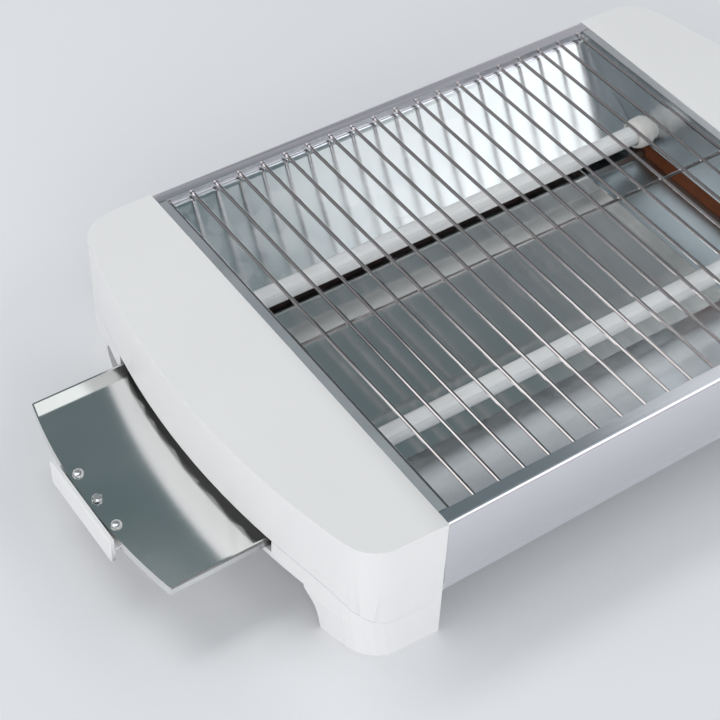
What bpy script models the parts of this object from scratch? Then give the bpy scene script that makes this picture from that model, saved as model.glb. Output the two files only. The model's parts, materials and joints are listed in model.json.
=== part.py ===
"""Flat toaster: two quartz tubes under a wire grill, and a crumb tray that slides out.

The body runs along X with the tray at its -X end. Y is the depth, Z is up, and Z = 0 is
the table. Lengths are in metres. Pieces that come in pairs are built for one side and
told which side they are on by a sign, -1 or +1.
"""

import math

import bmesh
import bpy
from mathutils import Vector

MM = 0.001

# General clearances
GAP = 0.3 * MM                   # between pieces that touch
OVERRUN = 3.0 * MM               # how far a cutter runs past what it cuts
SHEET = 0.8 * MM                 # steel sheet of the chassis
ROUND_SIDES = 16                 # facets of a small round piece
SMALL_SIDES = 8                  # facets of a wire, a pin or a hole for one

# Wire grill
WIRE_COUNT = 20
WIRE_PITCH = 12.4 * MM
WIRE_RADIUS = 0.85 * MM
GRILL_OFFSET = -0.4 * MM         # grill set a little towards the tray end
HOLE_DROP = 0.15 * MM            # wire holes below the underside of the rim
WIRE_TAIL = 2.6 * MM             # wire end past the lip it passes through
WELD = 0.2 * MM                  # how far the cross wire is pressed into the others
CROSS_TAIL = 1.5 * MM            # cross wire end past the end plate

# Chassis: front and rear panels with a flat rim and a punched inner lip
RIM_HEIGHT = 67.2 * MM
BODY_DEPTH = 224.3 * MM
PANEL_BOTTOM = 30.5 * MM
PANEL_BEND = 2.0 * MM
RIM_WIDTH = 7.0 * MM
LIP_MARGIN = 0.75 * MM           # lip below its wire holes
WIRE_TO_END_PLATE = 1.7 * MM     # outer wire axis to the inner face of the end plate
END_RIM_WIDTH = 4.2 * MM         # part of the end rim that shows beside a cover
END_RIM_COVERED = 5.0 * MM       # part of the end rim stepped down under a cover

# Reflectors
REFLECTOR_TAB = 9.0 * MM         # upright strip against the panel
REFLECTOR_OVERLAP = 3.05 * MM    # lower edge inside the side of the tray
REFLECTOR_ROOM = 1.0 * MM        # lower edge above the rim of the tray
REFLECTOR_BEND = 6.0 * MM        # bend from the shelf under the lip to the slope
REFLECTOR_HEM = 1.6 * MM         # steeper strip along the lower edge

# Bottom plate
FLOOR_TOP = 25.0 * MM
FLOOR_LIP = 11.0 * MM            # height of its upturned edges
RUNNER_WIDTH = 4.0 * MM

# End plates
WINDOW_MARGIN = 1.0 * MM         # room at each side of the tray in its window
WINDOW_ROOM = 1.3 * MM           # room above the tray in its window
SIDE_FLANGE = 6.0 * MM
SCREW_TAB_WIDTH = 22.0 * MM
SCREW_TAB_REACH = 12.0 * MM
SCREW_TAB_OFFSET = 18.7 * MM     # middle of the tab from the side of the tray

# Plastic end caps, seen from above: a straight inner edge, sides that close in a
# little, a bowed outer end and rounded corners between them
CAP_LENGTH = 51.3 * MM
CAP_BOW = 380.0 * MM
CAP_SIDE_TAPER = 2.0 * MM
CAP_CORNER = 17.0 * MM
CAP_WALL = 2.0 * MM
LEG_WALL = 2.4 * MM
CAP_RISE = 0.4 * MM              # top of a cover above the rim, at its inner edge
CAP_CROWN = 0.6 * MM             # how far the top falls towards the outer end
CAP_TOP_ROUND = 2.6 * MM
BASE_DRAFT = 3.0 * MM            # how far the outer end comes in at the table
BOW_STEPS = 20
CORNER_STEPS = 5
CROWN_STEPS = 5
ROUND_STEPS = 4

# Seam between cover and base, seen from the end
SEAM_CORNER = 21.0 * MM
SEAM_CROWN = 35.0 * MM
SEAM_POWER = 11.0
SEAM_STEPS = 12

# Arch between the legs
LEG_WIDTH = 27.35 * MM
ARCH_LEAN = 6.0 * MM             # how far the top of a leg leans into the arch
ARCH_SHOULDER_Z = 23.4 * MM
STRIP_BOTTOM = 24.8 * MM
ARCH_POWER = 4.0
ARCH_STEPS = 8
LEG_FLOOR = 4.5 * MM

# Crumb tray and its slot
TRAY_HALF = 57.3 * MM
TRAY_BOTTOM = 28.1 * MM
TRAY_TOP = 33.0 * MM
TRAY_SHEET = 0.7 * MM
TRAY_LENGTH = 300.6 * MM
TRAY_BOW = 265.0 * MM
TRAY_STEPS = 16
TRAY_PULLED_OUT = 45.6 * MM      # how far the photographed tray stands out
SLOT_MARGIN = 3.3 * MM

# Tray handle
HANDLE_HALF = 25.0 * MM
HANDLE_DROP = 12.8 * MM
HANDLE_WALL = 2.2 * MM
HANDLE_FLANGE = 1.4 * MM
HANDLE_FLANGE_REACH = 12.0 * MM
HANDLE_ROUND = 0.6 * MM
STAKE_Y = 16.0 * MM
STAKE_INSET = 5.6 * MM           # fixing line behind the tray's edge
STAKE_RADIUS = 1.5 * MM
STAKE_HEAD_RADIUS = 2.2 * MM
STAKE_HEAD = 0.7 * MM

# Quartz tubes, their ceramics and contacts
TUBE_INSET = 6.55 * MM           # axis inside the lower edge of the reflector
TUBE_LIFT = 12.5 * MM            # axis above the rim of the tray
TUBE_RADIUS = 4.7 * MM
TUBE_WALL = 1.0 * MM
COIL_RADIUS = 2.6 * MM
COIL_END = 5.0 * MM              # coil end inside the tube's end
CERAMIC_RADIUS = 7.6 * MM
CERAMIC_DEPTH = 9.0 * MM
CERAMIC_SHOULDER = 4.5 * MM      # from the back to where the dome starts
CERAMIC_BACK = 1.6 * MM          # rounding at the back
CERAMIC_COLLAR = 3.2 * MM        # collar behind each ceramic at the timer end
SOCKET_DEPTH = 5.5 * MM
NECK_RADIUS = 4.0 * MM
NECK_LENGTH = 3.0 * MM
PIN_RADIUS = 0.9 * MM
PIN_TAIL = 6.0 * MM

# Screws
SCREW_RADIUS = 1.4 * MM
SCREW_HEAD_RADIUS = 2.9 * MM
SCREW_HEAD = 1.5 * MM
BOSS_RADIUS = 4.0 * MM
SCREW_RECESS = 1.0 * MM           # base screw heads above the table
BOSS_INSET = 17.0 * MM           # from the cover's inner edge
BOSS_SIDE_INSET = 14.15 * MM     # from the cover's side
SCREW_REACH = 14.0 * MM
TAB_SCREW_REACH = 5.0 * MM

# Timer, knob and wiring in the right-hand cap
BOARD_THICKNESS = 1.5 * MM
BOARD_SIDE_ROOM = 18.15 * MM     # from the ends of the board to the sides of the body
BOARD_DROP = 5.5 * MM            # top of the board below the rim
TIMER_DROP = 17.2 * MM           # timer's axis below the rim
TIMER_HALF_WIDTH = 18.0 * MM
TIMER_HALF_HEIGHT = 12.5 * MM
TIMER_DEPTH = 22.0 * MM
SHAFT_RADIUS = 3.0 * MM
SHAFT_FLAT = 0.8 * MM
NUT_RADIUS = 6.0 * MM
NUT_HEIGHT = 2.0 * MM
THREAD_RADIUS = 4.0 * MM
KNOB_RADIUS = 13.0 * MM
KNOB_HEIGHT = 15.0 * MM
KNOB_WALL = 2.0 * MM
KNOB_STANDOFF = 0.9 * MM         # knob clear of the bowed end
GRIP_HALF = 2.6 * MM
GRIP_HEIGHT = 4.0 * MM
BLOCK_SIZE = (13.0 * MM, 22.0 * MM, 9.0 * MM)
BLOCK_X = 16.0 * MM              # from the cover's inner edge
BLOCK_Y = 62.0 * MM
BUSH_RADIUS = 5.5 * MM
BUSH_BORE = 3.4 * MM
BUSH_FLANGE = 7.0 * MM
BUSH_LIP = 1.6 * MM
BUSH_LENGTH = 7.0 * MM
BUSH_FROM_END = 29.3 * MM        # from the outer end of the cap
BUSH_Z = 37.0 * MM
LEAD_RADIUS = 1.1 * MM
LEAD_SAG = 5.0 * MM
LEAD_BEND = 3.0 * MM

# Places that follow from the sizes
PANEL_Y = BODY_DEPTH / 2
WIRE_Z = RIM_HEIGHT - SHEET - HOLE_DROP - GAP - WIRE_RADIUS
WIRE_END_X = WIRE_PITCH * (WIRE_COUNT - 1) / 2
PLATE_X = WIRE_END_X + WIRE_TO_END_PLATE
CAP_X = PLATE_X + END_RIM_WIDTH
CAP_TOP = RIM_HEIGHT + CAP_RISE
LIP_Y = PANEL_Y - RIM_WIDTH
LIP_BOTTOM = WIRE_Z - WIRE_RADIUS - GAP - LIP_MARGIN
REFLECTOR_LOW_Y = TRAY_HALF - REFLECTOR_OVERLAP
REFLECTOR_LOW_Z = TRAY_TOP + REFLECTOR_ROOM
RUNNER_HEIGHT = TRAY_BOTTOM - GAP - FLOOR_TOP
RUNNER_OUTER_Y = TRAY_HALF - RUNNER_HEIGHT / 2
RUNNER_INNER_Y = RUNNER_OUTER_Y - RUNNER_WIDTH
WINDOW_TOP = TRAY_TOP + WINDOW_ROOM
SCREW_TAB_Y = TRAY_HALF + SCREW_TAB_OFFSET
BOW_CENTRE_X = CAP_X + CAP_LENGTH - CAP_BOW
CAP_END_X = CAP_X + CAP_LENGTH
CROSS_Z = WIRE_Z - 2 * WIRE_RADIUS + WELD
LEG_INNER_Y = PANEL_Y - LEG_WIDTH
TRAY_END_X = -(CAP_END_X + TRAY_PULLED_OUT)
HANDLE_FACE_X = TRAY_END_X - GAP - HANDLE_WALL
FIXING_X = TRAY_END_X + STAKE_INSET
SLOT_BOTTOM = TRAY_BOTTOM - GAP
SLOT_HALF = TRAY_HALF + SLOT_MARGIN
FLANGE_TOP = TRAY_BOTTOM - GAP
BOSS_BOTTOM = LEG_FLOOR + GAP
NOTCH_BOTTOM = FLANGE_TOP - HANDLE_FLANGE - GAP
WEB_TOP = NOTCH_BOTTOM - GAP
BOSS_Y = PANEL_Y - BOSS_SIDE_INSET
TUBE_Y = REFLECTOR_LOW_Y - TUBE_INSET
TUBE_Z = TRAY_TOP + TUBE_LIFT
BOARD_HALF = PANEL_Y - BOARD_SIDE_ROOM
BOARD_TOP = RIM_HEIGHT - BOARD_DROP
TIMER_Z = RIM_HEIGHT - TIMER_DROP
BUSH_X = CAP_LENGTH - BUSH_FROM_END
KNOB_BACK_X = CAP_END_X + KNOB_STANDOFF
KNOB_FRONT_X = KNOB_BACK_X + KNOB_HEIGHT
BOARD_X = PLATE_X + SHEET + GAP
# The origin lies under the middle of the whole, tray and knob included
CENTRE_SHIFT = -(KNOB_FRONT_X + HANDLE_FACE_X) / 2


# Scene and mesh helpers

def clear_scene():
    for thing in list(bpy.data.objects):
        bpy.data.objects.remove(thing, do_unlink=True)


def finish_material(name, colour, roughness, metallic=0.0):
    material = bpy.data.materials.new(name)
    material.use_nodes = True
    shader = material.node_tree.nodes["Principled BSDF"]
    shader.inputs["Base Color"].default_value = (*colour, 1.0)
    shader.inputs["Roughness"].default_value = roughness
    shader.inputs["Metallic"].default_value = metallic
    return material


def white_plastic(name):
    return finish_material(name, (0.80, 0.80, 0.79), 0.45)


def bright_steel(name):
    return finish_material(name, (0.74, 0.75, 0.78), 0.22, 1.0)


def galvanised_sheet(name):
    return finish_material(name, (0.70, 0.74, 0.78), 0.30, 1.0)


def ceramic(name):
    return finish_material(name, (0.86, 0.84, 0.80), 0.55)


def add_object(name, mesh_builder, material):
    """Makes an object from a bmesh, with its faces pointing out."""
    bmesh.ops.recalc_face_normals(mesh_builder, faces=mesh_builder.faces)
    mesh = bpy.data.meshes.new(name)
    mesh_builder.to_mesh(mesh)
    mesh_builder.free()
    thing = bpy.data.objects.new(name, mesh)
    bpy.context.scene.collection.objects.link(thing)
    if material is not None:
        mesh.materials.append(material)
    return thing


def loft(sections, plane):
    """A bmesh through sections, each an outline of (a, b) points and its level."""
    builder = bmesh.new()
    rings = [[builder.verts.new(plane(a, b, level)) for a, b in outline]
             for outline, level in sections]
    builder.faces.new(rings[0])
    builder.faces.new(reversed(rings[-1]))
    for first, second in zip(rings, rings[1:]):
        for i in range(len(first)):
            j = (i + 1) % len(first)
            builder.faces.new((first[i], first[j], second[j], second[i]))
    return builder


def prism(outline, start, end, plane):
    """A bmesh prism on an outline of (a, b) points, which plane places in space."""
    return loft([(outline, start), (outline, end)], plane)


def along_x(y, z, x):
    return (x, y, z)


def along_y(x, z, y):
    return (x, y, z)


def along_z(x, y, z):
    return (x, y, z)


def block(low, high):
    """A bmesh box between two corners."""
    outline = [(low[0], low[1]), (high[0], low[1]), (high[0], high[1]), (low[0], high[1])]
    return prism(outline, low[2], high[2], along_z)


def join_into(builder, other):
    """Adds another bmesh's faces to a bmesh."""
    scratch = bpy.data.meshes.new("scratch")
    other.to_mesh(scratch)
    other.free()
    builder.from_mesh(scratch)
    bpy.data.meshes.remove(scratch)
    return builder


def ring_points(radius, sides, turn=0.5):
    return [(radius * math.cos(2 * math.pi * (i + turn) / sides),
             radius * math.sin(2 * math.pi * (i + turn) / sides)) for i in range(sides)]


def rod_x(y, z, x0, x1, radius, sides=SMALL_SIDES):
    outline = [(y + a, z + b) for a, b in ring_points(radius, sides)]
    return prism(outline, x0, x1, along_x)


def rod_y(x, z, y0, y1, radius, sides=SMALL_SIDES):
    outline = [(x + a, z + b) for a, b in ring_points(radius, sides)]
    return prism(outline, y0, y1, along_y)


def rod_z(x, y, z0, z1, radius, sides=SMALL_SIDES):
    outline = [(x + a, y + b) for a, b in ring_points(radius, sides)]
    return prism(outline, z0, z1, along_z)


def turned_x(profile, y, z, sides=ROUND_SIDES):
    """Revolves a closed profile of (x, radius) points about a line along X."""
    builder = bmesh.new()
    verts = [builder.verts.new((x, y, z + radius)) for x, radius in profile]
    edges = [builder.edges.new((verts[i], verts[(i + 1) % len(verts)]))
             for i in range(len(verts))]
    bmesh.ops.spin(builder, geom=verts + edges, cent=(0, y, z), axis=(1, 0, 0),
                   angle=2 * math.pi, steps=sides, use_merge=True)
    return builder


def apply_boolean(thing, builder, operation):
    """Cuts or joins a bmesh to an object and keeps the result as its mesh."""
    other = add_object("boolean_tool", builder, None)
    modifier = thing.modifiers.new("boolean", "BOOLEAN")
    modifier.operation = operation
    modifier.solver = "EXACT"
    modifier.object = other
    graph = bpy.context.evaluated_depsgraph_get()
    graph.update()
    result = bpy.data.meshes.new_from_object(thing.evaluated_get(graph))
    thing.modifiers.remove(modifier)
    old = thing.data
    thing.data = result
    result.name = thing.name
    bpy.data.meshes.remove(old)
    bpy.data.objects.remove(other, do_unlink=True)


def cut(thing, *builders):
    for builder in builders:
        apply_boolean(thing, builder, "DIFFERENCE")


def join(thing, *builders):
    for builder in builders:
        apply_boolean(thing, builder, "UNION")


def smooth(thing, degrees=35.0):
    thing.data.shade_smooth()
    thing.data.set_sharp_from_angle(angle=math.radians(degrees))


def thicken(path, thickness):
    """Closes a folded strip: the path and a copy of it, offset to its left."""
    normals = []
    for (a0, b0), (a1, b1) in zip(path, path[1:]):
        length = math.hypot(a1 - a0, b1 - b0)
        normals.append((-(b1 - b0) / length, (a1 - a0) / length))
    offset = []
    for i, (a, b) in enumerate(path):
        before = normals[max(i - 1, 0)]
        after = normals[min(i, len(normals) - 1)]
        share = 1 + before[0] * after[0] + before[1] * after[1]
        offset.append((a + thickness * (before[0] + after[0]) / share,
                       b + thickness * (before[1] + after[1]) / share))
    return path + offset[::-1]


def bend(centre, radius, start, end, steps=3):
    """Points of an arc, with its angles in degrees."""
    angles = [math.radians(start + (end - start) * i / steps) for i in range(steps + 1)]
    return [(centre[0] + radius * math.cos(t), centre[1] + radius * math.sin(t))
            for t in angles]


def swept_rod(points, radius, resolution=1):
    """A round rod along points, as a bmesh with filled ends."""
    curve = bpy.data.curves.new("route", "CURVE")
    curve.dimensions = "3D"
    curve.bevel_depth = radius
    curve.bevel_resolution = resolution
    curve.use_fill_caps = True
    spline = curve.splines.new("POLY")
    spline.points.add(len(points) - 1)
    for place, point in zip(spline.points, points):
        place.co = (*point, 1.0)
    holder = bpy.data.objects.new("route", curve)
    bpy.context.scene.collection.objects.link(holder)
    graph = bpy.context.evaluated_depsgraph_get()
    graph.update()
    mesh = bpy.data.meshes.new_from_object(holder.evaluated_get(graph))
    builder = bmesh.new()
    builder.from_mesh(mesh)
    bmesh.ops.remove_doubles(builder, verts=builder.verts, dist=radius / 1000)
    bpy.data.objects.remove(holder, do_unlink=True)
    bpy.data.meshes.remove(mesh)
    bpy.data.curves.remove(curve)
    return builder


# Chassis sheets

def panel_path():
    """Front panel from its lower edge up, over the rim and down the inner lip."""
    path = [(-PANEL_Y, PANEL_BOTTOM)]
    path += bend((-PANEL_Y + PANEL_BEND, RIM_HEIGHT - PANEL_BEND), PANEL_BEND, 180, 90)
    path += [(-LIP_Y, RIM_HEIGHT), (-LIP_Y, LIP_BOTTOM)]
    return path


def wire_places():
    return [GRILL_OFFSET - WIRE_END_X + WIRE_PITCH * i for i in range(WIRE_COUNT)]


def make_panel(name, side):
    outline = thicken(panel_path(), -SHEET)
    outline = [(-side * y, z) for y, z in outline]
    reach = CAP_X - GAP
    panel = add_object(name, prism(outline, -reach, reach, along_x), bright_steel(name))
    holes = bmesh.new()
    for x in wire_places():
        join_into(holes, rod_y(x, WIRE_Z, side * (LIP_Y - OVERRUN),
                               side * (LIP_Y + SHEET + OVERRUN / 2), WIRE_RADIUS + GAP))
    cut(panel, holes)
    return panel


def reflector_path():
    """Front reflector: tab up the panel, shelf under the lip, bend, slope and hem."""
    wall_y = -(PANEL_Y - SHEET - GAP)
    shelf_z = LIP_BOTTOM - GAP
    rise = shelf_z - REFLECTOR_LOW_Z
    run = LIP_Y - REFLECTOR_LOW_Y
    hem_y = -(REFLECTOR_LOW_Y + REFLECTOR_HEM / 2)
    hem_z = REFLECTOR_LOW_Z + REFLECTOR_HEM * (0.5 + rise / run / 2)
    centre = (-LIP_Y, shelf_z - REFLECTOR_BEND)
    across, down = hem_y - centre[0], hem_z - centre[1]
    turn = math.acos(REFLECTOR_BEND / math.hypot(across, down))
    touch = math.degrees(math.atan2(down, across) + turn)
    tab = [(wall_y, shelf_z - REFLECTOR_TAB), (wall_y, shelf_z)]
    low = [(hem_y, hem_z), (-REFLECTOR_LOW_Y, REFLECTOR_LOW_Z)]
    return tab + bend(centre, REFLECTOR_BEND, 90, touch, 4) + low


def make_reflector(name, side):
    outline = [(-side * y, z) for y, z in thicken(reflector_path(), -SHEET)]
    reach = PLATE_X - GAP
    return add_object(name, prism(outline, -reach, reach, along_x), galvanised_sheet(name))


def make_bottom_plate():
    lip_y = PANEL_Y - SHEET - 2 * GAP - SHEET
    low = FLOOR_TOP - SHEET
    half = [(lip_y + SHEET, FLOOR_TOP + FLOOR_LIP), (lip_y + SHEET, low),
            (RUNNER_OUTER_Y + RUNNER_HEIGHT / 2, low), (RUNNER_OUTER_Y, low + RUNNER_HEIGHT),
            (RUNNER_INNER_Y, low + RUNNER_HEIGHT), (RUNNER_INNER_Y - RUNNER_HEIGHT / 2, low)]
    path = [(-y, z) for y, z in half] + half[::-1]
    reach = CAP_X - GAP
    sheet = prism(thicken(path, SHEET), -reach, reach, along_x)
    return add_object("bottom_plate", sheet, galvanised_sheet("bottom_plate"))


def end_rim_section():
    """End rim of the right-hand plate: level, then stepped down under the cover."""
    step_x = CAP_X - GAP
    step_z = CAP_TOP - CAP_WALL - GAP
    path = [(PLATE_X, RIM_HEIGHT), (step_x, RIM_HEIGHT), (step_x, step_z),
            (CAP_X + END_RIM_COVERED, step_z)]
    return thicken(path, -SHEET)


def make_end_plate(name, side):
    """Upright plate under the end rim, with flanges that carry the plastic cap."""
    lower_half = PANEL_Y - SHEET - 2 * (GAP + SHEET)
    upper_half = LIP_Y - GAP
    foot = FLOOR_TOP + GAP
    window = TRAY_HALF + WINDOW_MARGIN
    shelf = LIP_BOTTOM - 2 * GAP
    half = [(window, foot), (lower_half, foot), (lower_half, shelf), (upper_half, shelf),
            (upper_half, RIM_HEIGHT)]
    outline = half + [(-y, z) for y, z in half[::-1]]
    outline += [(-window, WINDOW_TOP), (window, WINDOW_TOP)]
    near = side * PLATE_X
    far = side * (PLATE_X + SHEET)
    plate = add_object(name, prism(outline, near, far, along_x), galvanised_sheet(name))
    rim = [(side * x, z) for x, z in end_rim_section()]
    join(plate, prism(rim, -upper_half, upper_half, along_y))
    flange_far = side * (CAP_X + SIDE_FLANGE)
    tab_z = WEB_TOP + GAP
    tab_far = side * (CAP_X + SCREW_TAB_REACH)
    for hand in (-1, 1):
        flange_y = sorted((hand * lower_half, hand * (lower_half - SHEET)))
        join(plate, block((near, flange_y[0], PANEL_BOTTOM),
                          (flange_far, flange_y[1], shelf)))
        middle = hand * SCREW_TAB_Y
        join(plate, block((near, middle - SCREW_TAB_WIDTH / 2, tab_z),
                          (tab_far, middle + SCREW_TAB_WIDTH / 2, tab_z + SHEET)))
    holes = bmesh.new()
    for hand in (-1, 1):
        join_into(holes, rod_x(hand * TUBE_Y, TUBE_Z, side * (PLATE_X - OVERRUN),
                               side * (PLATE_X + OVERRUN), NECK_RADIUS + GAP, ROUND_SIDES))
        join_into(holes, rod_z(side * (CAP_X + SCREW_TAB_REACH / 2), hand * SCREW_TAB_Y,
                               tab_z - OVERRUN, tab_z + SHEET + OVERRUN, SCREW_RADIUS + GAP))
    join_into(holes, rod_x(0.0, CROSS_Z, side * (PLATE_X - OVERRUN),
                           side * (PLATE_X + SHEET + CROSS_TAIL), WIRE_RADIUS + GAP))
    cut(plate, holes)
    return plate


# Grill

def make_wire_grill():
    """Wires from front to rear, welded to one cross wire below them."""
    wires = bmesh.new()
    tip = LIP_Y + SHEET + WIRE_TAIL
    for x in wire_places():
        join_into(wires, rod_y(x, WIRE_Z, -tip, tip, WIRE_RADIUS))
    material = finish_material("wire_grill", (0.66, 0.66, 0.67), 0.15, 1.0)
    grill = add_object("wire_grill", wires, material)
    cross_end = PLATE_X + SHEET + CROSS_TAIL
    join(grill, rod_x(0.0, CROSS_Z, -cross_end, cross_end, WIRE_RADIUS))
    smooth(grill, 50)
    return grill


# Plastic end caps

def cap_outline(inset, inner_x, drawn_in=0.0):
    """Right-hand cap seen from above, from the front inner corner round to the rear."""
    bow_x = BOW_CENTRE_X - drawn_in
    start = (CAP_X, -(PANEL_Y - inset))
    slope = CAP_SIDE_TAPER / CAP_LENGTH
    length = math.hypot(1, slope)
    inward = (-slope / length, 1 / length)
    radius = CAP_BOW - inset
    corner = max(CAP_CORNER - inset, GAP)
    base = (start[0] + inward[0] * corner - bow_x, start[1] + inward[1] * corner)
    along = (inward[1], -inward[0])
    reach = radius - corner
    half_b = base[0] * along[0] + base[1] * along[1]
    rest = base[0] ** 2 + base[1] ** 2 - reach ** 2
    travel = -half_b + math.sqrt(half_b ** 2 - rest)
    centre = (bow_x + base[0] + along[0] * travel, base[1] + along[1] * travel)
    first = math.degrees(math.atan2(-inward[1], -inward[0]))
    last = math.degrees(math.atan2(centre[1], centre[0] - bow_x))
    front = [(inner_x, start[1])]
    front += bend(centre, corner, first, last, CORNER_STEPS)
    bow = bend((bow_x, 0.0), radius, last, -last, BOW_STEPS)
    rear = [(x, -y) for x, y in front[::-1]]
    return front + bow[1:-1] + rear


def crown_height(x):
    """Top of a cover: level at the inner edge, falling towards the outer end."""
    share = max(0.0, (abs(x) - CAP_X) / CAP_LENGTH)
    return CAP_TOP - CAP_CROWN * share ** 2


def seam_points(offset):
    """The seam from front to rear, moved up or down by an offset."""
    shares = [i / SEAM_STEPS for i in range(-SEAM_STEPS, SEAM_STEPS + 1)]
    inner = []
    for share in shares:
        outward = share * (2 - abs(share))
        fall = (SEAM_CROWN - SEAM_CORNER) * abs(outward) ** SEAM_POWER
        inner.append((PANEL_Y * outward, SEAM_CROWN - fall + offset))
    edge = PANEL_Y + OVERRUN
    low = SEAM_CORNER + offset
    return [(-edge, low)] + inner + [(edge, low)]


def crowned_block(side, inset, bottom, drop, inner_x):
    """A cap-shaped block whose top follows the crown, for one end."""
    outline = [(side * x, y) for x, y in cap_outline(inset, inner_x)]
    builder = prism(outline, bottom, CAP_TOP, along_z)
    for i in range(1, CROWN_STEPS + 1):
        x = side * (CAP_X + CAP_LENGTH * i / (CROWN_STEPS + 1))
        geometry = builder.verts[:] + builder.edges[:] + builder.faces[:]
        bmesh.ops.bisect_plane(builder, geom=geometry, dist=GAP / 100,
                               plane_co=(x, 0, 0), plane_no=(1, 0, 0))
    middle = (bottom + CAP_TOP) / 2
    for vert in builder.verts:
        if vert.co.z > middle:
            vert.co.z = crown_height(vert.co.x) - drop
    return builder


def round_top(builder, side, radius):
    """Rounds the edge between the top and the outer walls."""
    bmesh.ops.recalc_face_normals(builder, faces=builder.faces)
    rim = []
    for edge in builder.edges:
        tops = [face for face in edge.link_faces if face.normal.z > 0.7]
        walls = [face for face in edge.link_faces if abs(face.normal.z) < 0.3]
        if len(tops) == 1 and len(walls) == 1 and walls[0].normal.x * side > -0.5:
            rim.append(edge)
    bmesh.ops.bevel(builder, geom=rim, offset=radius, segments=ROUND_STEPS,
                    profile=0.5, affect="EDGES", material=-1, clamp_overlap=True)
    return builder


def cap_boss(side, hand):
    return (side * (CAP_X + BOSS_INSET), hand * BOSS_Y)


def make_cover(name, side):
    """Upper half of an end cap: a rounded shell with two screw bosses."""
    outer = round_top(crowned_block(side, 0.0, 0.0, 0.0, CAP_X), side, CAP_TOP_ROUND)
    cover = add_object(name, outer, white_plastic(name))
    cut(cover, crowned_block(side, CAP_WALL, -OVERRUN, CAP_WALL, CAP_X - OVERRUN))
    edge = PANEL_Y + 2 * OVERRUN
    below = seam_points(0.0) + [(edge, SEAM_CORNER), (edge, -2 * OVERRUN),
                                (-edge, -2 * OVERRUN), (-edge, SEAM_CORNER)]
    ends = sorted((side * (CAP_X - 2 * OVERRUN), side * (CAP_END_X + 2 * OVERRUN)))
    cut(cover, prism(below, ends[0], ends[1], along_x))
    for hand in (-1, 1):
        x, y = cap_boss(side, hand)
        ceiling = crown_height(x) - CAP_WALL / 2
        join(cover, rod_z(x, y, BOSS_BOTTOM, ceiling, BOSS_RADIUS, ROUND_SIDES))
        cut(cover, rod_z(x, y, BOSS_BOTTOM - OVERRUN, BOSS_BOTTOM + SCREW_REACH,
                         SCREW_RADIUS + GAP))
    smooth(cover, 25)
    return cover


def arch_outline():
    """Gap between the legs, seen from the end."""
    half = [(LEG_INNER_Y, -OVERRUN)]
    for i in range(ARCH_STEPS + 1):
        share = i / ARCH_STEPS
        half.append((LEG_INNER_Y - ARCH_LEAN * share ** ARCH_POWER, ARCH_SHOULDER_Z * share))
    half.append((LEG_INNER_Y - ARCH_LEAN, STRIP_BOTTOM))
    return half + [(-y, z) for y, z in half[::-1]]


def base_block(side, inset, inner_x):
    """A base-shaped block: upright above the seam's corners, drawn in below them."""
    drawn_in = [(side * x, y) for x, y in cap_outline(inset, inner_x, BASE_DRAFT)]
    upright = [(side * x, y) for x, y in cap_outline(inset, inner_x)]
    return loft([(drawn_in, 0.0), (upright, SEAM_CORNER), (upright, CAP_TOP)], along_z)


def make_base(name, side, slotted):
    """Lower half of an end cap: two hollow legs joined by a strip and a web."""
    ends = sorted((side * (CAP_X - 2 * OVERRUN), side * (CAP_END_X + 2 * OVERRUN)))
    base = add_object(name, base_block(side, 0.0, CAP_X), white_plastic(name))
    edge = PANEL_Y + 2 * OVERRUN
    above = seam_points(-GAP) + [(edge, SEAM_CORNER - GAP), (edge, CAP_TOP + OVERRUN),
                                 (-edge, CAP_TOP + OVERRUN), (-edge, SEAM_CORNER - GAP)]
    cut(base, prism(above, ends[0], ends[1], along_x))
    cut(base, prism(arch_outline(), ends[0], ends[1], along_x))
    inside = [(side * x, y) for x, y in cap_outline(CAP_WALL, CAP_X - OVERRUN)]
    cut(base, prism(inside, WEB_TOP, CAP_TOP, along_z))
    wall_y = LEG_INNER_Y + LEG_WALL
    for hand in (-1, 1):
        hollow = add_object("hollow", base_block(side, LEG_WALL, CAP_X + LEG_WALL), None)
        spare = sorted((-hand * edge, hand * wall_y))
        cut(hollow, block((ends[0], spare[0], -OVERRUN), (ends[1], spare[1], 2 * CAP_TOP)))
        cut(hollow, block((ends[0], -edge, -OVERRUN), (ends[1], edge, LEG_FLOOR)))
        builder = bmesh.new()
        builder.from_mesh(hollow.data)
        bpy.data.objects.remove(hollow, do_unlink=True)
        cut(base, builder)
        x, y = cap_boss(side, hand)
        head = SCREW_HEAD_RADIUS + GAP
        well = rod_z(x, y, -OVERRUN, SCREW_RECESS + SCREW_HEAD, head, ROUND_SIDES)
        cut(base, well, rod_z(x, y, -OVERRUN, LEG_FLOOR + OVERRUN, SCREW_RADIUS + GAP))
        tab_x = side * (CAP_X + SCREW_TAB_REACH / 2)
        cut(base, rod_z(tab_x, hand * SCREW_TAB_Y, -OVERRUN, WEB_TOP + OVERRUN,
                        SCREW_RADIUS + GAP))
    if slotted:
        cut(base, block((ends[0], -SLOT_HALF, SLOT_BOTTOM), (ends[1], SLOT_HALF, CAP_TOP)))
        notch = HANDLE_HALF + 2 * GAP
        cut(base, block((ends[0], -notch, NOTCH_BOTTOM), (ends[1], notch, CAP_TOP)))
    smooth(base, 25)
    return base


# Crumb tray

def tray_outline(inset):
    """Tray seen from above: a rectangle whose outer end is bowed like the cap."""
    centre = (TRAY_END_X + TRAY_BOW, 0.0)
    half = TRAY_HALF - inset
    radius = TRAY_BOW - inset
    spread = math.degrees(math.asin(half / radius))
    bow = bend(centre, radius, 180 - spread, 180 + spread, TRAY_STEPS)
    far = TRAY_END_X + TRAY_LENGTH - inset
    return bow + [(far, -half), (far, half)]


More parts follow.
